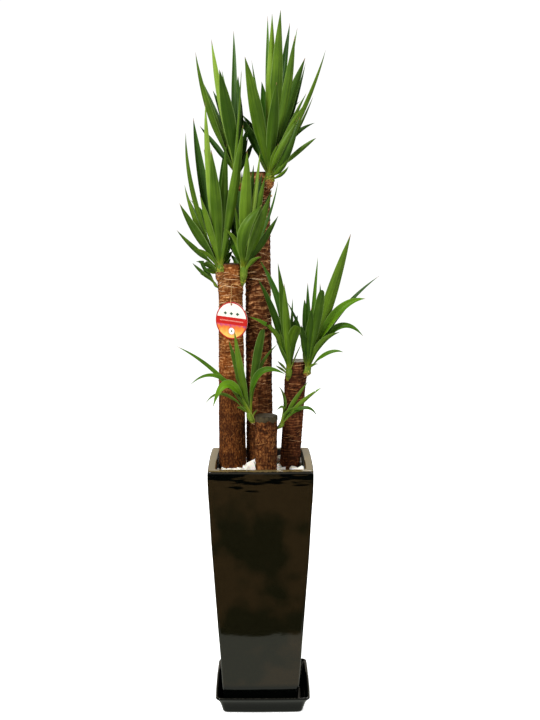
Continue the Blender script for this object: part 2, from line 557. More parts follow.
tone = node("FunctionNodeRandomValue", {2: given["Darkest"], 3: given["Lightest"], "Seed": 9},
            data_type="FLOAT")
toned = node("GeometryNodeStoreNamedAttribute", {"Geometry": laid, "Name": "tone", "Value": tone},
             data_type="FLOAT", domain="INSTANCE")
real = node("GeometryNodeRealizeInstances", {0: toned})
node("NodeGroupOutput", {0: node("GeometryNodeSetMaterial", {"Geometry": real, "Material": given["Finish"]})})

for name, (cane, low, high, amount, thick, size, lean, darkest, lightest) in STRANDS.items():
    foot_radius, top_radius = CANES[cane][2:4]
    strands = grow(bpy.data.objects[f"{cane}_bark"], strand_tree, name, {
        "Lowest": low, "Highest": high, "Strands per m2": float(amount), "Thickness": thick / 1000,
        "Stem radius": (foot_radius + top_radius) / 2 * STRAND_LOOSE, "Size": size, "Lean": lean,
        "Darkest": darkest, "Lightest": lightest, "Finish": straw}, keep=True)
    strands.data.shade_smooth()
    finish_piece(strands, BARK[cane][0])


# ---------------------------------------------------------------- sealed cane tops
# Each sawn top is sealed against rot. The short cane was dipped, so grey-green wax runs down over its
# rim; the right one has a pale brushed seal; the other two are dark, with the cut's rings showing.
WAX = {  # slot, depth of the skirt, height of the dome, edge and middle colours, roughness
    "left_cane": ("wax_brown", 0.0, 0.0028, "2a1a10", "4a3322", 0.85),
    "tall_cane": ("wax_brown_tall", 0.0, 0.0028, "1e120b", "33221a", 0.85),
    "right_cane": ("wax_pale", 0.0, 0.0030, "6e675a", "9c9484", 0.70),
    "short_cane": ("wax_grey_green", 0.0115, 0.0030, "1d160a", "443a25", 0.75),
}
CAP_GAP = 0.0003
WAX_THICK = 0.0012


def wax_cap(name, skirt, dome, edge, middle, roughness):
    top = CANES[name][1][2]
    centre = cane_middle(name, top)

    def ring(z, share, grow_by, ripple):
        points = []
        for i in range(AROUND):
            angle = 2 * math.pi * i / AROUND
            heading = Vector((math.cos(angle), math.sin(angle), 0))
            reach = (bark_at(name, min(z, top), angle)[0] + grow_by) * share
            lift = ripple * noise.noise(heading * 2.3 + Vector((0, 0, top * 9)))
            points.append(Vector((centre.x, centre.y, z + lift)) + heading * reach)
        return points

    seat = top + CAP_GAP
    if skirt:
        rings = [ring(seat, share, 0.0004, 0) for share in (0.05, 0.6, 1.0)]
        rings += [ring(top - skirt, 1, 0.0004, 0.006), ring(top - skirt, 1, WAX_THICK, 0.006),
                  ring(top - skirt * 0.82, 1, WAX_THICK + 0.0005, 0.005),
                  ring(top - skirt * 0.5, 1, WAX_THICK, 0.002), ring(top - 0.001, 1, WAX_THICK, 0.0),
                  ring(seat + dome * 0.55, 0.975, WAX_THICK, 0.0006)]
    else:
        rings = [ring(seat, share, -0.0008, 0) for share in (0.05, 0.6, 1.0)]
        rings += [ring(seat + dome * 0.5, 0.985, -0.0006, 0.0004)]
    rings += [ring(seat + dome * (0.78 + 0.22 * (1 - share)), share, 0, 0.0008)
              for share in (0.92, 0.75, 0.5, 0.25, 0.06)]
    # Sealing wax over sawn wood: matt and mottled, with the cut's rings faintly showing through.
    mat, node = new_material(f"{name}_sealing_wax")
    place = node("TexCoord").outputs["Object"]
    centred = node("Mapping", {"Vector": place, "Location": tuple(-centre)})
    rings_cut = node("TexWave", {"Vector": centred, "Scale": 60.0, "Distortion": 3.0, "Detail": 2.0},
                     wave_type="RINGS", rings_direction="Z")
    mottle = node("TexNoise", {"Vector": place, "Scale": 1 / 0.009, "Detail": 4.0})
    both = node("Math", {0: rings_cut.outputs["Fac"], 1: 0.25, 2: mottle}, operation="MULTIPLY_ADD")
    colour = node("ValToRGB", {0: both}, stops=((0.35, edge), (0.85, middle)))
    bump = node("Bump", {"Height": both, "Strength": 0.4, "Distance": 0.0008})
    surface(node, roughness, 1.45, colour, bump, shine=0.2)
    return make_piece(f"{name}_wax", *skin(rings), mat, crease=60)


for name, (slot, *look) in WAX.items():
    finish_piece(wax_cap(name, *look), slot, name.replace("cane", "cap"))


# ---------------------------------------------------------------- potting soil
# Dark, crumbly peat mix that fills the pot round the canes' lower ends. Its top is hand-firmed and lumpy.
SOIL_BOTTOM = 0.1205
SOIL_RINGS = 26  # on its top
SOIL_GAP = 0.0005
SOIL_LUMPS = ((0.0042, 42), (0.0022, 150), (0.0010, 420))  # how high and how close together each size is
SOIL_EDGE_DROP = 0.004  # how much lower it lies along the pot's wall


def inside_half(z):
    """The half width of the pot's inside at height z."""
    rows = [row for row in reversed(POT_INSIDE_MM) if row[1] <= 640]
    for (half, low), (next_half, high) in zip(rows, rows[1:]):
        if low <= z * 1000 <= high:
            return (half + (next_half - half) * (z * 1000 - low) / (high - low)) / 1000
    return rows[-1][0] / 1000


def fill_ring(z, share=1.0, drop=0.0, lumps=()):
    """A ring that follows the pot's inside at height z, drawn in towards the middle by share."""
    half = inside_half(z) - SOIL_GAP
    ring = square_ring(half, POT_CORNER_MM / 1000, z - drop, POT_BOW_MM / 1000, POT_CENTRE_X, 16, 4)
    ring = [Vector((POT_CENTRE_X + (p.x - POT_CENTRE_X) * share, p.y * share, p.z)) for p in ring]
    for p in ring:
        p.z += sum(height * noise.noise(p * closeness) for height, closeness in lumps)
    return ring


soil_rings = [fill_ring(z) for z in (SOIL_BOTTOM, 0.300, 0.480, SOIL_LEVEL - 0.006)]
for share in [1 - i / SOIL_RINGS for i in range(SOIL_RINGS)]:
    soil_rings.append(fill_ring(SOIL_LEVEL, share, SOIL_EDGE_DROP * smooth_step(0.8, 1.0, share), SOIL_LUMPS))
# Moist peat: almost black-brown crumbs, matt, with a few paler specks of bark and fibre.
peat, node = new_material("moist_peat_potting_soil")
place = node("TexCoord").outputs["Object"]
crumbs = node("TexVoronoi", {"Vector": place, "Scale": 1 / 0.004})
damp = node("TexNoise", {"Vector": place, "Scale": 1 / 0.02, "Detail": 5.0})
peat_mix = node("Math", {0: crumbs, 1: damp}, operation="MULTIPLY")
peat_colour = node("ValToRGB", {0: peat_mix}, stops=((0.05, "120b07"), (0.28, "2a1b11"), (0.5, "4a3423")))
peat_bump = node("Bump", {"Height": crumbs, "Strength": 0.9, "Distance": 0.0015})
surface(node, 0.95, 1.4, peat_colour, peat_bump, shine=0.3)
finish_piece(make_piece("potting_soil_fill", *skin(soil_rings), peat, crease=80), "potting_soil", "soil")


# ---------------------------------------------------------------- white stones
# A loose layer of crushed white marble over the soil: sharp-edged chips, some lying flat, some on edge,
# with smaller grit between them. They keep clear of the canes and lie where they were poured.
STONE_BED_SHARES = [0.97 - 0.94 * i / 30 for i in range(31)]
STONES = {  # spacing and size of the chips, how far they stand up from the soil, seed
    "white_stone_chips": (0.0140, 0.0230, 0.0075, 4),
    "white_stone_grit": (0.0062, 0.0090, 0.0022, 9),
    "white_stone_lumps": (0.0200, 0.0300, 0.0170, 3),
    "white_stone_peak": (0.0200, 0.0290, 0.0310, 6),
    "white_stone_front": (0.0150, 0.0230, 0.0160, 8),
}
HEAPS = {  # x, y and reach of the places where stones are heaped
    "white_stone_lumps": ((-0.030, -0.072, 0.011), (-0.026, -0.050, 0.008), (0.044, 0.010, 0.010)),
    "white_stone_peak": ((-0.024, -0.070, 0.009), (-0.020, -0.040, 0.007)),
    "white_stone_front": ((0.042, -0.083, 0.010), (0.057, -0.084, 0.011), (0.071, -0.083, 0.009)),
}
STONE_KINDS = 6
STONES_PER_M2 = 60000.0  # before those that stand too close are taken away
STONE_BLOCK = (1.0, 0.78, 0.52)
STONE_KNOCKED = (0.30, 0.26, 0.20)  # how far a block's corners are knocked in or out
BARE_PATCHES = ((-0.108, 0.03, 0.026), (-0.085, -0.075, 0.020), (0.098, 0.035, 0.026), (0.070, -0.030, 0.016),
                (0.042, 0.060, 0.030))

# Crushed marble: sugary white with faint warm clouds and freshly split matt faces; light enters it a few
# millimetres, so that its shaded sides stay pale.
marble, node = new_material("crushed_white_marble")
place = node("TexCoord").outputs["Object"]
clouds = node("TexNoise", {"Vector": place, "Scale": 1 / 0.016, "Detail": 5.0})
marble_colour = node("ValToRGB", {0: clouds}, stops=((0.30, "ebe0cb"), (0.50, "faf4e6"), (0.72, "fffcf4")))
sugar = node("TexNoise", {"Vector": place, "Scale": 1 / 0.0014, "Detail": 2.0})
marble_bump = node("Bump", {"Height": sugar, "Strength": 0.35, "Distance": 0.0005})
surface(node, 0.70, 1.49, marble_colour, marble_bump,
        **{"Subsurface Weight": 0.5, "Subsurface Radius": (1.0, 0.8, 0.6), "Subsurface Scale": 0.005})

stone_tree, node = new_tree("crushed_stone", {"Spacing": 0.015, "Size": 0.02, "Stand up": 0.005, "Seed": 1,
                                              "Finish": marble})
given = node("NodeGroupInput").outputs
room = node("GeometryNodeInputNamedAttribute", {"Name": "room"}, data_type="FLOAT")
spots = node("GeometryNodeDistributePointsOnFaces",
             {"Mesh": given["Geometry"], "Distance Min": given["Spacing"], "Density Max": STONES_PER_M2,
              "Density Factor": room, "Seed": given["Seed"]}, distribute_method="POISSON")
chips = []
for number in range(STONE_KINDS):
    block = node("GeometryNodeMeshCube", {"Size": STONE_BLOCK, "Vertices X": 3, "Vertices Y": 3,
                                          "Vertices Z": 3})
    knock = node("FunctionNodeRandomValue", {0: tuple(-reach for reach in STONE_KNOCKED), 1: STONE_KNOCKED,
                                             "Seed": 31 + number}, data_type="FLOAT_VECTOR")
    knocked = node("GeometryNodeSetPosition", {"Geometry": block, "Offset": knock})
    hull = node("GeometryNodeConvexHull", {0: knocked})
    shrunk = node("GeometryNodeTransform", {"Geometry": hull, "Scale": (0.72, 0.72, 0.72)})
    chips.append(node("GeometryNodeGeometryToInstance", {0: shrunk}))
turn = node("FunctionNodeRandomValue", {0: (-0.55, -0.55, 0.0), 1: (0.55, 0.55, 6.28), "Seed": given["Seed"]},
            data_type="FLOAT_VECTOR")
turned = node("FunctionNodeEulerToRotation", {0: turn})
uneven = node("FunctionNodeRandomValue", {2: 0.68, 3: 1.32, "Seed": 17}, data_type="FLOAT")
size = node("Math", {0: uneven, 1: given["Size"]}, operation="MULTIPLY")
kinds = node("GeometryNodeJoinGeometry", {0: chips})
poured = node("GeometryNodeInstanceOnPoints",
              {"Points": spots, "Instance": kinds, "Pick Instance": True, "Rotation": turned, "Scale": size})
raised = node("GeometryNodeTranslateInstances", {
    "Instances": poured, "Translation": node("CombineXYZ", {"Z": given["Stand up"]}), "Local Space": False})
real = node("GeometryNodeRealizeInstances", {0: raised})
node("NodeGroupOutput", {0: node("GeometryNodeSetMaterial", {"Geometry": real, "Material": given["Finish"]})})


def stone_bed(heaps):
    """The soil's top as a bare sheet, marked with how much room there is for stones, or for heaped lumps."""
    rings = [fill_ring(SOIL_LEVEL, share, lumps=SOIL_LUMPS[:1]) for share in STONE_BED_SHARES]
    bed = make_piece("stone_bed", *skin(rings, close_start=False), marble)
    room = []
    for p in [v.co for v in bed.data.vertices]:
        canes = [(cane_middle(name, p.z), CANES[name][2]) for name in CANES]
        clear = min(math.hypot(p.x - middle.x, p.y - middle.y) - radius for middle, radius in canes)
        bare = min(math.hypot(p.x - x, p.y - y) - reach for x, y, reach in BARE_PATCHES)
        heap = max(reach - math.hypot(p.x - x, p.y - y) for x, y, reach in heaps) if heaps else 1.0
        room.append(smooth_step(0.003, 0.006, clear) * smooth_step(0.0, 0.008, bare) * (heap > 0))
    mark_piece(bed, room=room)
    return bed


for name, (spacing, size, stand_up, seed) in STONES.items():
    stones = grow(stone_bed(HEAPS.get(name)), stone_tree, name,
                  {"Spacing": spacing, "Size": size, "Stand up": stand_up, "Seed": seed, "Finish": marble})
    stones.data.set_sharp_from_angle(angle=math.radians(20))
    finish_piece(stones, "white_stone", *(["top_stones"] if name == "white_stone_chips" else []))


# ---------------------------------------------------------------- shoots
# Each shoot is a green stem that breaks out of the bark and carries a fan of sword-shaped leaves. A leaf
# clasps the stem with a pale base, narrows, widens to its middle and is drawn out to a dry brown tip.

# For each shoot: its stem from, its stem to, its radius, the share of it that is barky; then for each leaf
# its tip's x, y, z from the stem's end in mm, its bow, its width in mm, its brightness from 1 to 9 and, where
# given, how far it turns to face the front and whether its tip was trimmed (1); an arching leaf has its
# middle's x, y, z for a bow.
SHOOTS = {
    "tall_cane_shoot_left": ((-0.034, 0.042, 1.305), (-0.066, 0.020, 1.371), 0.0100, 0.55, (
        (-95, -30, 280, -0.05, 17, 4, 0.7), (-80, 50, 215, 0.00, 20, 2), (-70, 40, 190, 0.00, 8, 4),
        (-55, -60, 305, -0.02, 20, 9), (-35, -100, 230, 0.02, 33, 2), (-35, 60, 250, 0.02, 11, 4),
        (-5, 60, 345, 0.02, 15, 3), (15, 60, 250, 0.02, 6, 6), (10, 90, 200, 0.03, 28, 1),
        (-90, 30, 110, 0.00, 16, 1), (45, 60, 75, 0.00, 14, 1), (30, 90, 85, 0.02, 12, 1),
        (35, 30, 115, 0.03, 14, 2), (-40, 130, 160, 0.05, 26, 2), (-60, 110, 205, 0.04, 26, 2),
        (5, 100, 240, 0.03, 24, 2),
    )),
    "tall_cane_shoot_right": ((0.010, 0.040, 1.318), (0.019, 0.030, 1.367), 0.0120, 0.66, (
        (-60, -100, 265, 0.00, 33, 4), (-45, 30, 275, 0.00, 10, 4), (-40, 90, 230, 0.00, 10, 2),
        (5, -60, 370, -0.01, 24, 7), (-5, 50, 385, 0.00, 14, 5), (25, -80, 375, 0.00, 31, 4),
        (50, 30, 365, 0.00, 23, 1), (70, 70, 360, 0.00, 15, 6), (60, -60, 320, -0.01, 25, 4),
        (85, -50, 270, 0.02, 30, 2), (90, 40, 270, -0.02, 10, 2), (135, -30, 290, -0.04, 20, 5, 0.3),
        (110, 40, 190, -0.03, 8, 5), (115, 60, 125, 0.12, 16, 3), (113, -50, 80, (68, -30, 46), 12, 4, 0.8),
        (15, -110, 205, 0.03, 28, 3), (20, -60, 65, 0.04, 14, 5), (80, -70, 155, 0.03, 16, 6, 0.4),
        (65, -70, 120, 0.05, 16, 4), (90, -30, 190, 0.02, 12, 4), (46, -40, 13, (28, -30, -8), 9, 4, 0.8),
        (72, -60, 130, (38, -50, 34), 20, 2, 0.8), (58, -50, 84, (32, -40, 16), 18, 3, 0.8),
        (50, -45, 46, (26, -35, 4), 13, 4, 0.7), (64, -62, 120, (22, -56, 44), 15, 5, 0.8),
        (-30, -30, 40, 0.00, 8, 4), (-87, 50, 150, 0.03, 29, 2), (-70, 120, 150, 0.06, 24, 1),
        (-20, 130, 235, 0.06, 26, 2), (40, 150, 265, 0.08, 26, 2), (80, 120, 185, 0.12, 24, 2),
    )),
    "left_cane_shoot_left": ((-0.103, 0.004, 1.088), (-0.106, -0.002, 1.139), 0.0110, 0.72, (
        (-80, -20, 320, -0.06, 14, 4, 0.6), (-65, 40, 360, -0.02, 26, 2), (-30, -50, 390, -0.03, 19, 8),
        (-15, -90, 275, 0.00, 29, 4), (20, -60, 290, 0.00, 20, 3), (60, -60, 335, -0.02, 26, 4, 0.6),
        (55, -20, 465, -0.02, 9, 5), (-45, -60, 170, 0.00, 19, 6), (-85, -10, 195, -0.05, 15, 5, 0.6),
        (-85, 50, 175, -0.03, 20, 1), (-95, -50, 150, -0.03, 26, 3), (-105, -20, 85, -0.04, 16, 3),
        (-60, -60, 40, 0.12, 10, 6), (-50, -40, 5, 0.10, 12, 3), (50, -30, 260, 0.00, 22, 1),
        (45, 20, 90, 0.02, 14, 1), (30, 40, 130, 0.02, 14, 1), (25, -20, 75, 0.02, 18, 3),
        (31, 20, 32, 0.03, 15, 2), (34, 10, 62, 0.02, 12, 3), (44, 0, 88, 0.02, 10, 2),
        (27, 15, 13, 0.03, 13, 3), (-45, 140, 290, 0.08, 26, 2), (15, 130, 310, 0.06, 26, 2),
        (-80, 110, 160, 0.10, 24, 2), (-58, -25, 8, 0.08, 17, 2), (-40, -10, -12, 0.06, 14, 3),
    )),
    "left_cane_side_bud": ((-0.108, 0.004, 1.078), (-0.119, -0.004, 1.093), 0.0045, 0.20, (
        (-55, -10, 50, -0.02, 11, 3), (-35, -40, 25, 0.05, 9, 4), (-40, 20, 55, 0.00, 11, 2),
    )),
    "left_cane_shoot_right": ((-0.052, 0.010, 1.082), (-0.046, 0.000, 1.134), 0.0102, 0.05, (
        (46, 10, 232, 0.00, 22, 1), (10, -70, 280, 0.00, 30, 6), (25, -30, 248, 0.00, 20, 2, 0.9),
        (41, -40, 280, -0.01, 13, 9, 0.8), (-5, 40, 235, 0.00, 16, 2), (85, 0, 210, -0.05, 10, 3, 0.5),
        (65, -70, 175, -0.02, 28, 4), (53, -30, 222, 0.00, 19, 4, 0.9),
        (46, -60, 152, (2, -70, 84), 30, 4, 0.9), (70, 30, 190, 0.00, 22, 2, 0.9),
        (85, -40, 125, -0.02, 20, 2, 0.6), (-50, -50, 95, 0.15, 13, 7), (-38, 0, 82, 0.03, 18, 4, 0.9),
        (-28, 20, 190, 0.00, 10, 4), (-50, 10, 78, 0.03, 11, 1), (-28, 5, 46, 0.03, 12, 2),
        (-27, 18, 12, 0.03, 15, 2), (-34, 20, 28, 0.03, 14, 2), (-20, -60, 145, 0.01, 11, 4),
        (45, -40, 25, 0.10, 14, 5), (-45, 80, 200, 0.00, 24, 1), (-40, 130, 190, 0.10, 24, 2),
        (-50, 110, 125, 0.12, 22, 2), (-15, 30, 215, 0.00, 20, 2),
    )),
    "right_cane_shoot_left": ((0.066, 0.016, 0.838), (0.068, 0.008, 0.875), 0.0088, 0.05, (
        (-30, -60, 270, 0.01, 20, 3), (-15, -75, 220, 0.00, 19, 5), (-75, 0, 275, 0.07, 19, 3, 0.8),
        (-80, -20, 230, 0.04, 19, 1, 0.8), (-105, -30, 135, 0.17, 15, 5), (20, -80, 115, 0.15, 27, 4, 0.8, 1),
        (10, 40, 175, 0.00, 9, 4), (30, -20, 65, 0.00, 6, 3), (25, 20, 100, 0.00, 6, 3),
        (-40, 30, 95, 0.03, 14, 2), (-30, -10, 20, 0.00, 8, 3), (-35, -20, 10, 0.00, 8, 3),
        (-10, 110, 165, 0.08, 22, 2), (-35, 90, 85, 0.15, 20, 2), (25, 100, 125, 0.10, 22, 2),
    )),
    "right_cane_shoot_right": ((0.106, 0.016, 0.850), (0.116, 0.008, 0.880), 0.0090, 0.45, (
        (100, -60, 335, 0.00, 30, 5, 0.8), (25, 30, 275, 0.00, 11, 5), (0, 40, 210, 0.00, 14, 3),
        (30, 20, 210, -0.06, 15, 2), (30, -80, 200, 0.00, 23, 3, 0.8, 1), (175, -20, 230, 0.065, 15, 2, 0.5),
        (141, -30, 174, (64, -25, 130), 24, 6, 0.8), (137, -30, 79, (69, -12, 98), 17, 4, 0.8),
        (75, -70, 95, 0.12, 19, 4), (87, -35, 40, (46, -30, 35), 12, 5, 0.6), (5, -60, 155, 0.00, 22, 2),
        (-55, 5, 165, 0.06, 10, 3), (-20, -50, 110, 0.03, 18, 1), (25, -30, 10, 0.10, 9, 5),
        (-15, -30, 40, 0.00, 8, 2), (50, 110, 130, 0.10, 22, 2), (40, 100, 70, 0.15, 20, 2),
        (-5, 120, 160, 0.08, 22, 2),
    )),
    "short_cane_shoot_left": ((-0.018, -0.050, 0.742), (-0.033, -0.055, 0.774), 0.0080, 0.25, (
        (-175, -40, 170, 0.07, 12, 5), (-143, -50, 77, (-70, -40, 92), 11, 5, 0.6),
        (-88, -55, 22, (-48, -42, 76), 22, 6, 0.75), (-108, -40, 27, (-60, -35, 50), 8, 5),
        (-31, -20, 16, 0.10, 12, 5), (-50, -20, 185, 0.00, 17, 3), (-35, -50, 210, -0.02, 19, 5),
        (35, -60, 215, 0.04, 21, 3, 0.8, 1), (70, -30, 175, 0.10, 15, 3),
        (89, -45, 102, (24, -38, 100), 18, 4, 0.7), (20, -20, 10, 0.00, 6, 4), (-25, 30, 125, 0.00, 16, 2),
    )),
    "short_cane_shoot_right": ((0.034, -0.050, 0.728), (0.049, -0.045, 0.746), 0.0070, 0.20, (
        (97, -30, 93, 0.03, 14, 6), (86, -30, 21, (50, -30, 40), 11, 4), (64, -20, 107, 0.00, 19, 5),
        (-8, 0, 91, (7, 0, 50), 8, 3), (-13, -10, 32, (2, -10, 37), 9, 3), (45, -40, 40, 0.20, 10, 4),
    )),
}
LEAF_PLAN = (  # along the leaf, width share, depth of the channel as a share of the width
    (0.00, 0.62, 0.40), (0.05, 0.52, 0.34), (0.12, 0.52, 0.28), (0.24, 0.72, 0.28), (0.36, 0.92, 0.27),
    (0.47, 1.00, 0.26), (0.58, 0.97, 0.25), (0.70, 0.80, 0.23), (0.80, 0.60, 0.21), (0.88, 0.39, 0.18),
    (0.94, 0.20, 0.12), (0.98, 0.08, 0.07), (1.00, 0.02, 0.03),
)
TRIMMED_PLAN = (
    (0.00, 0.55, 0.40), (0.05, 0.45, 0.34), (0.14, 0.44, 0.28), (0.30, 0.60, 0.26), (0.48, 0.84, 0.24),
    (0.64, 1.00, 0.21), (0.78, 0.97, 0.19), (0.90, 0.80, 0.14), (0.97, 0.55, 0.10), (0.99, 0.34, 0.06),
    (1.00, 0.05, 0.03),
)
LEAF_ROWS = 3  # rows of points for each row of a plan
LEAF_UPPER = (-1.0, -0.86, -0.5, -0.2, 0.0, 0.2, 0.5, 0.86, 1.0)  # places across a leaf's upper face
LEAF_LOWER = (0.86, 0.5, 0.2, 0.0, -0.2, -0.5, -0.86)  # and back along its lower one
LEAF_THICK = 0.0014
LEAF_TWIST = 0.35  # the most that a leaf turns at random about its length, in radians
SHEATH_STEPS = 4
LEAF_FOOT_DROP = 0.55
LEAF_FOOT_OUT = 0.50
CLASP_WIDTH = 12  # leaves at least this wide, in mm, clasp the stem
THIN_WIDTH = 7  # leaves up to this width, in mm, are too thin to turn to the front
DRY_WIDTH = 9  # and those under this one are a little drier
HEART_LEAVES = 3  # the young leaves at a shoot's heart, still rolled
ROLLED_DEPTH = 1.9  # how much deeper their channel is
BROWN_FROM, BROWN_VARIES = 0.945, 0.04  # the share of a leaf's length where its dry tip begins
BARKY_STEM = 0.15  # a stem with a larger barky share tapers into the cane and carries fibres
STEM_AROUND = 36
SHEATH_HEIGHT, SHEATH_ROWS = 0.0065, 6  # of each ring-shaped leaf base on a stem
FIBRES_PER_M2, FIBRE_THICK = 60000.0, 0.00045


def bezier(points, t):
    a, b, c, d = points
    u = 1 - t
    return a * u ** 3 + b * 3 * u * u * t + c * 3 * u * t * t + d * t ** 3


def leaf_course(start, tip, bow):
    """The leaf's midrib as four Bezier points, and the way it heads. bow bends it in its own upright plane,
    by a share of its length, or is the place that the middle of an arching leaf passes."""
    chord = tip - start
    heading = Vector((chord.x, chord.y, 0.0)).normalized()
    if isinstance(bow, Vector):
        bend = bow * 2 - (start + tip) / 2
        return heading, (start, start.lerp(bend, 2 / 3), tip.lerp(bend, 2 / 3), tip)
    run, rise = chord.length, chord.z / chord.length
    lift = Vector((0, 0, math.sqrt(max(0.0, 1 - rise * rise)))) - heading * rise
    return heading, (start, start + chord / 3 + lift * (1.15 * bow * run),
                     start + chord * 2 / 3 + lift * (1.50 * bow * run), tip)


def turns_to_front(course, side, shares, face, arched):
    """For places along a leaf, which way is up from it, and how far it turns about its length to lie flat to
    the front with its upper (+) or lower (-) side."""
    turns = []
    for t in reversed(shares):
        along = (bezier(course, min(1.0, t + 0.01)) - bezier(course, max(0.0, t - 0.01))).normalized()
        up = along.cross(side).normalized()
        flat_on = along.cross(Vector((0, -1, 0))).normalized()
        full = math.atan2(flat_on.dot(up), flat_on.dot(side))
        if (up.y * math.cos(full) - side.y * math.sin(full)) * face > 0:
            full += math.pi if full < 0 else -math.pi
        if arched and turns:  # an arching leaf keeps one side to the front all along
            last_full = turns[-1][1]
            full = last_full + (full - last_full + math.pi / 2) % math.pi - math.pi / 2
        elif abs(full) > 1.75:  # the nearer face, so that no leaf turns right over
            full += math.pi if full < 0 else -math.pi
        turns.append((up, full))
    return reversed(turns)


def add_skin(verts, faces, rings):
    """Adds the skin of some rings to the verts and faces of others."""
    more_verts, more_faces = skin(rings)
    faces += [tuple(len(verts) + v for v in face) for face in more_faces]
    verts += more_verts


class Foliage:
    """Collects blades in one mesh, with their brightness, dryness, side and distances along and across."""

    def __init__(self):
        self.verts, self.faces, self.marks, self.across = [], [], [], []

    def section(self, point, wide, high, half, deep, thin, distance, mark):
        """One closed ring of a blade: across its upper face, then back along its lower one."""
        ring = [point + wide * (half * u) + high * (deep * abs(u) ** 1.2) for u in LEAF_UPPER]
        for u in LEAF_LOWER:
            under = thin * (1 - 0.75 * abs(u) ** 1.4)
            ring.append(point + wide * (half * u) + high * (deep * abs(u) ** 1.2 - under))
        self.across += [(half * u, distance) for u in (*LEAF_UPPER, *LEAF_LOWER)]
        self.marks += [(*mark, abs(u)) for u in (*LEAF_UPPER, *LEAF_LOWER)]
        return ring

    def sheath(self, low, start, radius, width, heading, side, plan, bright, dry):
        """The rings of a leaf's clasping base, which begins at low on a stem of that radius."""
        climb = (start - low).normalized()
        inward = (climb.cross(side)).normalized()
        if inward.dot(heading) > 0:
            inward = -inward
        rings = []
        for t in [i / SHEATH_STEPS for i in range(SHEATH_STEPS)]:
            half = radius * (1.02 - 0.12 * t) * (1 - t) + width * plan[0][1] / 2 * t
            deep = radius * 0.85 * (1 - t) + width * plan[0][1] * plan[0][2] * t
            rings.append(self.section(low.lerp(start, t), side, inward, half, deep, LEAF_THICK,
                                      -(1 - t) * (start - low).length, (bright, dry, 1.0 + 0.6 * (1 - t))))
        return rings

    def add_blade(self, start, tip, bow, width, bright, dry, dice, plan=LEAF_PLAN, clasp=None, face=0.0):
        """A leaf from start to tip. clasp is where its clasping base begins on the stem and the stem's
        radius; face turns its upper (+) or lower (-) side to the front by that share of the whole way."""
        heading, course = leaf_course(start, tip, bow)
        side = Vector((-heading.y, heading.x, 0.0))
        length = (tip - start).length
        twist = (dice[0] - 0.5) * 2 * LEAF_TWIST
        brown_from = BROWN_FROM + BROWN_VARIES * dice[1] if plan is not TRIMMED_PLAN else 2.0
        rings = []
        if clasp:
            low, radius = clasp
            rings = self.sheath(low, start, radius, width, heading, side, plan, bright, dry)
        rows = between(plan, LEAF_ROWS)
        turns = turns_to_front(course, side, [t for t, *_ in rows], face, isinstance(bow, Vector))
        for (t, share, depth), (up, full) in zip(rows, turns):
            sway = 0.004 * length * math.sin(t * 5 + 6 * dice[2]) * math.sin(math.pi * t)
            roll = full * abs(face) * smooth_step(0.03, 0.42, t) + twist * max(0.0, t - 0.12) ** 1.3
            wide = side * math.cos(roll) + up * math.sin(roll)
            high = up * math.cos(roll) - side * math.sin(roll)
            half = max(0.00012, width * share / 2)
            tip_dry = smooth_step(brown_from, brown_from + 0.025, t + 0.006 * math.sin(t * 90))
            pale = 1 - smooth_step(0.0, 0.045, t * length)
            rings.append(self.section(bezier(course, t) + side * sway, wide, high, half, 2 * depth * half,
                                      LEAF_THICK * (1.1 - 0.75 * t), t * length,
                                      (bright, max(dry, tip_dry), pale)))
        add_skin(self.verts, self.faces, rings)

    def make(self, name, mat):
        piece = make_piece(name, self.verts, self.faces, mat, crease=48)
        bright, dry, pale, margin = zip(*self.marks)
        mark_piece(piece, bright=bright, dry=dry, pale=pale, margin=margin)
        upper, count = len(LEAF_UPPER), len(LEAF_UPPER) + len(LEAF_LOWER)
        mark_piece(piece, "FACE", under=[float(any(v % count >= upper for v in face)) for face in self.faces])
        uv = piece.data.uv_layers.new(name="leaf")
        uv.data.foreach_set("uv", [c for loop in piece.data.loops for c in self.across[loop.vertex_index]])
        return piece


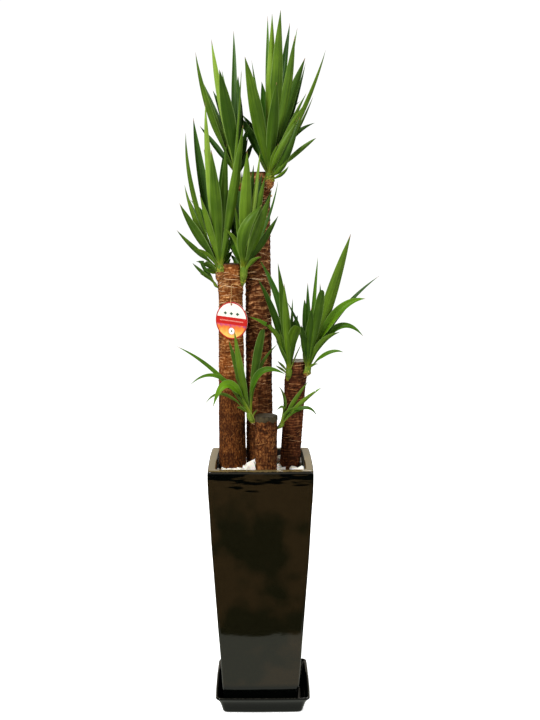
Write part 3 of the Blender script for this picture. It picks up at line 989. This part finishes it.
def leaf_material():
    """A living yucca leaf: waxy satin green with fine parallel veins, drawn as coarse as they need to show,
    duller and greyer below, yellower where it clasps the stem, with light margins and a dead brown tip."""
    mat, node = new_material("yucca_leaf")
    bright, dry, pale, margin, under = [node("Attribute", attribute_name=key).outputs["Fac"]
                                        for key in ("bright", "dry", "pale", "margin", "under")]
    flat = node("UVMap", uv_map="leaf")
    veins_at = node("Mapping", {"Vector": flat, "Scale": (1 / 0.0032, 1 / 0.14, 1.0)})
    veins = node("TexNoise", {"Vector": veins_at, "Scale": 1.0, "Detail": 3.0, "Roughness": 0.6})
    place = node("TexCoord").outputs["Object"]
    cloudy = node("TexNoise", {"Vector": place, "Scale": 1 / 0.045, "Detail": 2.0})
    wander = node("Math", {0: cloudy, 1: 0.36, 2: -0.18}, operation="MULTIPLY_ADD")
    streak = node("Math", {0: veins, 1: 0.60, 2: -0.30}, operation="MULTIPLY_ADD")
    tone = node("Math", {0: bright, 1: wander}, operation="ADD")
    tone = node("Math", {0: tone, 1: streak}, operation="ADD")
    upper = node("ValToRGB", {0: tone}, stops=(
        (0.05, "1c3a04"), (0.30, "2e5206"), (0.55, "466c08"), (0.80, "648e0a"), (1.0, "78a20e")))
    lower = node("ValToRGB", {0: tone}, stops=(
        (0.05, "203c06"), (0.35, "3a560a"), (0.70, "5e7c18"), (1.0, "7e9a38")))
    green = node("Mix", {0: under, 6: upper, 7: lower}, data_type="RGBA")
    clasp = node("MapRange", {0: pale, 1: 0.0, 2: 1.0, 3: 0.0, 4: 0.85})
    veined = node("Math", {0: veins, 1: 0.8, 2: -0.1}, operation="MULTIPLY_ADD")
    paler = node("Math", {0: pale, 1: 0.5, 2: veined}, operation="MULTIPLY_ADD")
    base = node("ValToRGB", {0: paler}, stops=(
        (0.40, "3e5808"), (0.60, "567010"), (0.75, "6e7c14"), (0.95, "8c8c28")))
    based = node("Mix", {0: clasp, 6: green, 7: base}, data_type="RGBA")
    at_edge = node("MapRange", {0: margin, 1: 0.86, 2: 1.0, 3: 0.0, 4: 0.60})
    edged = node("Mix", {0: at_edge, 6: based, 7: srgb("86a05a")}, data_type="RGBA")
    dead = node("ValToRGB", {0: veins}, stops=((0.3, "5a4028"), (0.7, "9a7a50")))
    dried = node("Mix", {0: dry, 6: edged, 7: dead}, data_type="RGBA")
    bump = node("Bump", {"Height": veins, "Strength": 0.4, "Distance": 0.0006})
    surface(node, 0.44, 1.45, dried, bump, shine=0.2)
    return mat


def stem_material():
    """A young stem: smooth pale yellow-green, ringed by leaf bases, and shaggy orange-brown at its foot."""
    mat, node = new_material("green_yucca_stem")
    age, barky = [node("Attribute", attribute_name=key).outputs["Fac"] for key in ("age", "barky")]
    place = node("TexCoord").outputs["Object"]
    stretched = node("Mapping", {"Vector": place, "Scale": (1 / 0.003, 1 / 0.003, 1 / 0.03)})
    streak = node("TexNoise", {"Vector": stretched, "Scale": 1.0, "Detail": 4.0})
    level = node("Math", {0: streak, 1: 0.9, 2: age}, operation="MULTIPLY_ADD")
    fresh = node("ValToRGB", {0: level}, stops=(
        (0.15, "84782a"), (0.45, "6e7c20"), (0.62, "40560e"), (0.75, "6a7e22"), (1.0, "4c6814")))
    across = node("Mapping", {"Vector": place, "Scale": (1 / 0.009, 1 / 0.009, 1 / 0.0022)})
    torn = node("TexNoise", {"Vector": across, "Scale": 1.0, "Detail": 4.0})
    shaggy = node("ValToRGB", {0: torn}, stops=((0.35, "3a1a06"), (0.5, "7c4a1e"), (0.65, "b47c42")))
    colour = node("Mix", {0: barky, 6: fresh, 7: shaggy}, data_type="RGBA")
    bump = node("Bump", {"Height": torn, "Strength": 0.4, "Distance": 0.0006})
    surface(node, 0.6, 1.45, colour, bump, shine=0.2)
    return mat


def stem_swell(t, barky):
    """How thick the stem is along it, as a share of its radius: a barky one tapers into the cane, and a green
    one hangs free and ends in a rounded point."""
    swell = 1.0 - 0.12 * smooth_step(0.5, 1.0, t) - 0.35 * smooth_step(0.9, 1.0, t)
    if barky > BARKY_STEM:
        return swell + 0.10 * (1 - smooth_step(0.3, barky + 0.15, t)) - 0.62 * (1 - smooth_step(0.0, 0.45, t))
    return (swell - 0.60 * (1 - smooth_step(0.0, 0.8, t))) * math.sqrt(min(1.0, 0.05 + t / 0.08))


def stem_course(start, end):
    rise = end - start
    outward = Vector((rise.x * 0.6, rise.y * 0.6, rise.z * 0.2))
    return start, start + outward, end - Vector((0, 0, rise.z * 0.4)), end


def make_stem(name, start, end, radius, barky, mat):
    """The stem as a stack of ring-shaped leaf bases, each lip standing a little proud of the next, tapering
    down to a foot that is rough where it breaks out of the bark."""
    course = stem_course(start, end)
    sheaths = max(5, round((end - start).length / SHEATH_HEIGHT))
    rows = sheaths * SHEATH_ROWS
    rings, marks = [], []
    for t in [row / rows for row in range(rows + 1)]:
        lip = (t * sheaths) % 1.0
        ring = []
        for angle in [2 * math.pi * i / STEM_AROUND for i in range(STEM_AROUND)]:
            slant = 0.35 * math.sin(angle + math.floor(t * sheaths) * 2.4)
            step = (lip + slant) % 1.0
            way = Vector((math.cos(angle), math.sin(angle), 0.0))
            edge = barky + 0.12 * noise.noise(way * 2 + Vector((0, 0, radius * 999)))
            bark = 1 - smooth_step(edge - 0.04, edge + 0.04, t)
            rough = noise.noise(way * 4 + Vector((0, 0, t * sheaths * 1.5)))
            reach = radius * stem_swell(t, barky) * (1 + 0.07 * step ** 2) + 0.0009 * rough * bark
            ring.append(bezier(course, t) + way * reach)
            marks.append((t * 0.6 - 0.08 * step, bark))
        rings.append(ring)
    stem = make_piece(name, *skin(rings), mat, crease=60)
    mark_outward(stem, lambda z: bezier(course, min(1.0, max(0.0, (z - start.z) / (end.z - start.z)))))
    age, bark = zip(*marks)
    mark_piece(stem, age=age, barky=bark)
    return stem


def add_leaf(foliage, start, end, stem_radius, barky, dice, x, y, z, bow, width, brightness, *ways):
    """Adds one leaf of the shoot whose stem runs from start to end, as its row in SHOOTS says."""
    reach = Vector((x, y, z))
    steep = max(0.0, z / reach.length)
    outward = Vector((x, y, 0.0)).normalized() * stem_radius * LEAF_FOOT_OUT
    foot = end + (start - end) * LEAF_FOOT_DROP * (1 - steep) + outward
    clasp_from = max(0.15, barky - 0.08) + 0.22 * steep * dice[1]
    stem_there = stem_swell(clasp_from, barky)
    low = bezier(stem_course(start, end), clasp_from)
    low += outward * stem_there * (0.92 + 0.25 * dice[2]) / LEAF_FOOT_OUT
    if isinstance(bow, tuple):
        bow = end + Vector(bow) / 1000
    upper_shows = isinstance(bow, Vector) or bow >= 0.03 or y >= 0 or brightness >= 6
    turned = ways[0] if ways else (0.45 + 0.4 * dice[2]) * (1 - 0.7 * smooth_step(60, 110, y))
    foliage.add_blade(foot, end + reach / 1000, bow, width / 1000,
                      brightness / 9 * 0.95 + 0.04 * (dice[0] - 0.5), 0.10 * (width < DRY_WIDTH), dice,
                      plan=TRIMMED_PLAN if len(ways) > 1 else LEAF_PLAN,
                      clasp=(low, stem_radius * stem_there) if width >= CLASP_WIDTH else None,
                      face=(turned if upper_shows else -turned) if width > THIN_WIDTH else 0.0)


def add_heart(foliage, end, stem_radius, leaves, dice, number):
    """Adds one of the young leaves, still rolled, that point where the shoot's longest leaves do."""
    longest = sorted((Vector(leaf[:3]) for leaf in leaves), key=lambda tip: -tip.length)[:4]
    heart = sum(longest, Vector()) / len(longest) / 1000
    lean = Vector((dice[0] - 0.5, dice[1] - 0.5, 0)) * 0.20 * heart.length
    tip = end + heart * (0.50 - 0.10 * number) + lean
    rolled = [(t, share, depth * ROLLED_DEPTH) for t, share, depth in LEAF_PLAN]
    foliage.add_blade(end - Vector((0, 0, 0.2 * stem_radius)), tip, 0.0, stem_radius * 1.2, 0.42, 0.0, dice,
                      plan=rolled)


random_of = random.Random(7)
yucca_leaf = leaf_material()
green_stem = stem_material()
for name, (start, end, stem_radius, barky, leaves) in SHOOTS.items():
    start, end = Vector(start), Vector(end)
    foliage = Foliage()
    for leaf in leaves:
        add_leaf(foliage, start, end, stem_radius, barky, [random_of.random() for _ in range(3)], *leaf)
    for number in range(HEART_LEAVES):
        add_heart(foliage, end, stem_radius, leaves, [random_of.random() for _ in range(3)], number)
    finish_piece(foliage.make(f"{name}_leaves", yucca_leaf), f"leaf_{name}", name)
    stem = make_stem(f"{name}_stem", start, end, stem_radius, barky, green_stem)
    finish_piece(stem, f"leaf_{name}")
    if barky > BARKY_STEM:
        fibres = grow(stem, strand_tree, f"{name}_fibres", {
            "Lowest": start.z - 0.01, "Highest": start.z + barky * (end.z - start.z),
            "Strands per m2": FIBRES_PER_M2, "Thickness": FIBRE_THICK, "Stem radius": stem_radius * 1.15,
            "Size": 1.0, "Lean": 0.3, "Darkest": 0.3, "Lightest": 1.0, "Finish": straw}, keep=True)
        finish_piece(fibres, f"leaf_{name}")


# ---------------------------------------------------------------- hang tag
# A round card tag with a gloss film, printed on its front and white on its back, with a punched hole. It
# hangs against the left cane, its right edge a little forward.
TAG_THICK = 0.0012
TAG_TURN = math.radians(-31)
TAG_HOLE_UP = 0.040
TAG_HOLE_RADIUS = 0.0028
TAG_AROUND = 72
TAG_SHARES = (0.0, 0.12, 0.3, 0.5, 0.7, 0.86, 0.96, 0.992)  # rings between the hole and the edge
PRINT_SLOPE = 0.062  # how much the print's level lines fall to the right
BAND_TOP_MM, BAND_FOOT_MM = 8.2, -9.9  # the red band's edges above the centre
RIM_MM = 43.6  # the red rim's inner radius
DISC_DOWN_MM, DISC_MM = 26.5, (9.6, 8.3, 2.4)  # the small disc below the centre, and the radii of its parts
LOZENGE_UP_MM, LOZENGE_MM, LOZENGE_STEP_MM = 17.5, 4.2, 18.0  # height above the centre, size, and spacing
TAG_ACROSS = Vector((math.cos(TAG_TURN), math.sin(TAG_TURN), 0.0))
TAG_FACING = Vector((math.sin(TAG_TURN), -math.cos(TAG_TURN), 0.0))


def tag_point(right, forward, up):
    return TAG_CENTRE + TAG_ACROSS * right + TAG_FACING * forward + Vector((0, 0, up))


def tag_ring(share, forward):
    """A ring from the hole (share 0) to the tag's edge (share 1), as places right of and above the centre."""
    ring = []
    for i in range(TAG_AROUND):
        angle = 2 * math.pi * i / TAG_AROUND
        way = Vector((math.cos(angle), math.sin(angle)))
        flat = (Vector((0, TAG_HOLE_UP)) + way * TAG_HOLE_RADIUS).lerp(way * TAG_RADIUS, share)
        ring.append((flat.x, forward, flat.y))
    return ring


def printed_card():
    """Film-laminated card: white above, a red band and a red rim, a warm picture-like field below with a
    small white disc, and plain lozenges and dashes where a maker would print words."""
    mat, node = new_material("laminated_printed_card")
    flat = node("UVMap", uv_map="print")
    at = node("SeparateXYZ", {0: flat})
    x, y = at.outputs["X"], at.outputs["Y"]

    def square_off(up):
        """How far a place is from the middle, squared, with up for its height."""
        squares = [node("Math", {0: side, 1: side}, operation="MULTIPLY") for side in (x, up)]
        return node("Math", {0: squares[0], 1: squares[1]}, operation="ADD")

    slope = node("Math", {0: x, 1: PRINT_SLOPE, 2: y}, operation="MULTIPLY_ADD")
    radius = node("Math", {0: square_off(y)}, operation="SQRT")
    # the lower field: plum to orange to yellow in soft blots
    blots = node("TexNoise", {"Vector": flat, "Scale": 0.085, "Detail": 1.0})
    down = node("MapRange", {0: slope, 1: BAND_FOOT_MM, 2: -36.0, 3: 0.0, 4: 0.62})
    warmth = node("Math", {0: blots, 1: 0.55, 2: down}, operation="MULTIPLY_ADD")
    shown = node("ValToRGB", {0: warmth}, stops=(
        (0.16, "6c4f72"), (0.30, "c8486a"), (0.42, "d8702c"), (0.62, "e2923c"), (0.95, "ecc060")))
    # three green lozenges in the white, and a broken pale line in the red
    along = node("Math", {0: x, 1: LOZENGE_STEP_MM / 2, 2: -LOZENGE_STEP_MM / 2}, operation="WRAP")
    over, over_line = [node("Math", {0: slope, 1: up}, operation="ADD") for up in (-LOZENGE_UP_MM, 0.8)]
    off_middle, sideways, upright, off_line = [
        node("Math", {0: value}, operation="ABSOLUTE") for value in (x, along, over, over_line)]
    lozenge = node("Math", {0: sideways, 1: 0.8, 2: upright}, operation="MULTIPLY_ADD")
    dash = node("Math", {0: x, 1: 2.6, 2: 0.0}, operation="WRAP")
    in_lozenge, near, dashed, on_line, inner = [
        node("Math", {0: value, 1: limit}, operation="LESS_THAN") for value, limit in (
            (lozenge, LOZENGE_MM), (off_middle, 1.5 * LOZENGE_STEP_MM), (dash, 1.6), (off_line, 1.3),
            (radius, 35.0))]
    green = node("Math", {0: in_lozenge, 1: near}, operation="MULTIPLY")
    pale = node("Math", {0: dashed, 1: on_line}, operation="MULTIPLY")
    pale = node("Math", {0: pale, 1: inner}, operation="MULTIPLY")
    white = node("Mix", {0: green, 6: srgb("e4dfd4"), 7: srgb("2f4f3a")}, data_type="RGBA")
    red = node("Mix", {0: pale, 6: srgb("b8160e"), 7: srgb("dc9c8a")}, data_type="RGBA")
    off_disc = square_off(node("Math", {0: y, 1: DISC_DOWN_MM}, operation="ADD"))
    for place, operation, limit, colour in (
            (off_disc, "LESS_THAN", DISC_MM[0] ** 2, srgb("c8503c")),
            (off_disc, "LESS_THAN", DISC_MM[1] ** 2, srgb("f8f6f0")),
            (off_disc, "LESS_THAN", DISC_MM[2] ** 2, srgb("1f5a3c")),
            (slope, "GREATER_THAN", BAND_FOOT_MM, red),
            (slope, "GREATER_THAN", BAND_TOP_MM, white),
            (radius, "GREATER_THAN", RIM_MM, srgb("a81a10"))):
        there = node("Math", {0: place, 1: limit}, operation=operation)
        shown = node("Mix", {0: there, 6: shown, 7: colour}, data_type="RGBA")
    front = node("Attribute", attribute_name="front").outputs["Fac"]
    card = node("Mix", {0: front, 6: srgb("efece6"), 7: shown}, data_type="RGBA")
    fibre = node("TexNoise", {"Vector": flat, "Scale": 0.9})
    bump = node("Bump", {"Height": fibre, "Strength": 0.05, "Distance": 0.0002})
    surface(node, 0.28, 1.5, card, bump, **{"Coat Weight": 0.4, "Coat Roughness": 0.12})
    return mat


tag_rings = [tag_ring(share, TAG_THICK / 2) for share in TAG_SHARES]
tag_rings += [tag_ring(1, TAG_THICK / 4), tag_ring(1, -TAG_THICK / 4)]
tag_rings += [tag_ring(share, -TAG_THICK / 2) for share in reversed(TAG_SHARES)]
tag_places, tag_faces = skin(tag_rings, around=True)
tag = make_piece("round_hang_tag", [tag_point(*place) for place in tag_places], tag_faces, printed_card(),
                 crease=30)
tag.data.uv_layers.new(name="print").data.foreach_set("uv", [
    tag_places[loop.vertex_index][axis] * 1000 for loop in tag.data.loops for axis in (0, 2)])
mark_piece(tag, "FACE", front=[float(face.normal.dot(TAG_FACING) > 0.5) for face in tag.data.polygons])
finish_piece(tag, "printed_card", "hang_tag")


# ---------------------------------------------------------------- tag tie
# A thin two-ply paper twine: knotted through the tag's hole, up the bark and once round the cane, where
# it is pressed in among the strands and tucked under itself.
TIE_PLY = 0.00052
TIE_LAY = 0.0045  # length of one turn of the twist
TIE_LEVEL = 1.070
TIE_FRONT_RISE = 0.020
TIE_OFF_BARK = 0.0009
TIE_SUNK = 0.0013  # how deep it lies among the strands on its way round the cane
TIE_TURN = (9, 347)  # the degrees round the cane that it goes from and to
TIE_POINTS = 41
TIE_ROWS_APART = 0.0009

left_bark = bpy.data.objects["left_cane_bark"].data
left_bark_tree = BVHTree.FromPolygons([tuple(v.co) for v in left_bark.vertices],
                                      [tuple(p.vertices) for p in left_bark.polygons])


def beside_bark(bearing, z, sunk=0.0):
    """The twine's middle, pressed against the bark at a bearing and height."""
    middle = cane_middle("left_cane", z)
    way = Vector((math.cos(bearing), math.sin(bearing), 0.0))
    hit = left_bark_tree.ray_cast(middle + way * 0.1, -way)[0]
    return hit + way * (TIE_OFF_BARK + TIE_PLY - sunk)


hole = tag_point(0, 0, TAG_HOLE_UP)
hole_out = tag_point(0, 0.0032, TAG_HOLE_UP + 0.0032) - hole
tie_middle = cane_middle("left_cane", TIE_LEVEL)
tie_bearing = math.atan2(hole.y - tie_middle.y, hole.x - tie_middle.x)
tie_front = TIE_LEVEL + TIE_FRONT_RISE
tie_route = [hole - hole_out * 0.9 + Vector((0, 0, 0.004)), hole, hole + hole_out,
             hole + hole_out * 1.1 + Vector((0, 0, 0.008))]
knot = tie_route[-1].z
tie_route += [beside_bark(tie_bearing, knot + 0.008 + (tie_front - 0.004 - knot - 0.008) * i / 4)
              for i in range(5)]
for i in range(TIE_POINTS):
    turned_by = math.radians(TIE_TURN[0] + (TIE_TURN[1] - TIE_TURN[0]) * i / (TIE_POINTS - 1))
    fall = min(1.0, 2.2 * math.sin(turned_by / 2) ** 2)
    sunk = TIE_SUNK * min(1.0, 8 * math.sin(turned_by / 2))
    tie_route.append(beside_bark(tie_bearing + turned_by, tie_front - TIE_FRONT_RISE * fall, sunk))


def twine(route):
    """Two plies laid round each other along the route: verts and faces of both."""
    fine = between(route, apart=TIE_ROWS_APART)
    verts, faces = [], []
    for ply in range(2):
        rings, travelled = [], 0.0
        for i, point in enumerate(fine):
            before = fine[max(i - 1, 0)]
            along = (fine[min(i + 1, len(fine) - 1)] - before).normalized()
            travelled += (point - before).length
            flat = along.cross(Vector((0.31, 0.17, 0.93))).normalized()
            other = along.cross(flat)
            turn = 2 * math.pi * travelled / TIE_LAY + math.pi * ply
            centre = point + (flat * math.cos(turn) + other * math.sin(turn)) * TIE_PLY * 0.8
            rings.append([centre + (flat * math.cos(a) + other * math.sin(a)) * TIE_PLY
                          for a in (math.pi * k / 4 for k in range(8))])
        add_skin(verts, faces, rings)
    return verts, faces


# Twisted paper: dull straw yellow, mottled by its fibres and hardly shiny.
paper, node = new_material("twisted_paper_twine")
place = node("TexCoord").outputs["Object"]
paper_fibre = node("TexNoise", {"Vector": place, "Scale": 1 / 0.0012, "Detail": 3.0})
surface(node, 0.7, 1.45, node("ValToRGB", {0: paper_fibre}, stops=((0.3, "a8783c"), (0.7, "dcb070"))))
finish_piece(make_piece("paper_tag_tie", *twine(tie_route), paper, crease=80), "paper_twine", "tag_tie")


# ---------------------------------------------------------------- floor, light and camera
# A pale floor in a bright even room, soft lights high on both sides, and two surfaces that only gloss
# sees: a sheet round the pot and a bright wall, which give the glaze its reflections.
def stage_sheet(name, verts, faces, mat, sees=("glossy",)):
    """A part of the stage that only some rays see; one that only gloss sees throws no shadow either."""
    sheet = make_piece(name, verts, faces, mat)
    for ray in ("camera", "diffuse", "glossy"):
        setattr(sheet, f"visible_{ray}", ray in sees)
    sheet.visible_shadow = "camera" in sees


def level_square(size, z):
    h = size / 2
    return [(-h, -h, z), (h, -h, z), (h, h, z), (-h, h, z)], [(0, 1, 2, 3)]


def glow(name, colour, strength):
    """A plain light-giving sheet, for the soft reflections in the glaze."""
    mat, node = new_material(name)
    node("OutputMaterial", {"Surface": node("Emission", {"Color": srgb(colour), "Strength": strength})})
    return mat


# White floor paint with no gloss, lifted where the camera sees it, so that it runs into the bright room.
painted_floor, node = new_material("painted_floor")
floor_lift = node("Math", {0: node("LightPath").outputs["Is Camera Ray"], 1: 0.70}, operation="MULTIPLY")
surface(node, 0.9, 1.5, srgb("f4f4f4"), shine=0.0,
        **{"Emission Color": srgb("ffffff"), "Emission Strength": floor_lift})
stage_sheet("pale_floor", *level_square(80.0, -0.0010), painted_floor, sees=("camera", "diffuse"))
stage_sheet("reflected_sheet", *level_square(0.91, -0.0005), glow("sheet_glow", "faffee", 0.60))
wall_ring = [Vector((9 * math.cos(a), 9 * math.sin(a), 0)) for a in (math.pi * i / 24 for i in range(48))]
wall_rings = [[p + Vector((0, 0, z)) for p in wall_ring] for z in (0.4, 7.0)]
stage_sheet("reflected_wall", *skin(wall_rings, close_start=False, close_end=False),
            glow("wall_glow", "fff4de", 0.66))

for name, place, aim, size, watts in (("key_light", (-2.0, -2.6, 3.4), (0, 0, 1.0), 1.1, 172),
                                      ("fill_light", (2.8, -2.2, 2.4), (0, 0, 0.9), 2.0, 40),
                                      ("rear_light", (0.6, 2.8, 3.4), (0, 0, 1.2), 1.6, 60)):
    data = bpy.data.lights.new(name, "AREA")
    data.shape = "DISK"
    data.size = size
    data.energy = watts
    light = bpy.data.objects.new(name, data)
    bpy.context.scene.collection.objects.link(light)
    light.location = place
    light.rotation_euler = (Vector(aim) - Vector(place)).to_track_quat("-Z", "Y").to_euler()

world = bpy.data.worlds.new("bright_room")
bpy.context.scene.world = world
world.use_nodes = True
world.node_tree.nodes.clear()
node = partial(add_node, world.node_tree)
seen = node("LightPath").outputs["Is Camera Ray"]
room_light = node("MapRange", {0: seen, 1: 0.0, 2: 1.0, 3: 0.40, 4: 1.05})
node("OutputWorld", {"Surface": node("Background", {"Color": srgb("ffffff"), "Strength": room_light})})
world.cycles_visibility.glossy = False

camera_data = bpy.data.cameras.new("camera")
camera_data.lens = 52.2
camera_data.sensor_width = 36
camera = bpy.data.objects.new("camera", camera_data)
bpy.context.scene.collection.objects.link(camera)
camera.location = (-0.005, -2.617, 1.274)
camera.rotation_euler = (math.radians(90 - 8.2), 0, math.radians(-0.53))
bpy.context.scene.camera = camera
bpy.context.scene.view_settings.view_transform = "Standard"
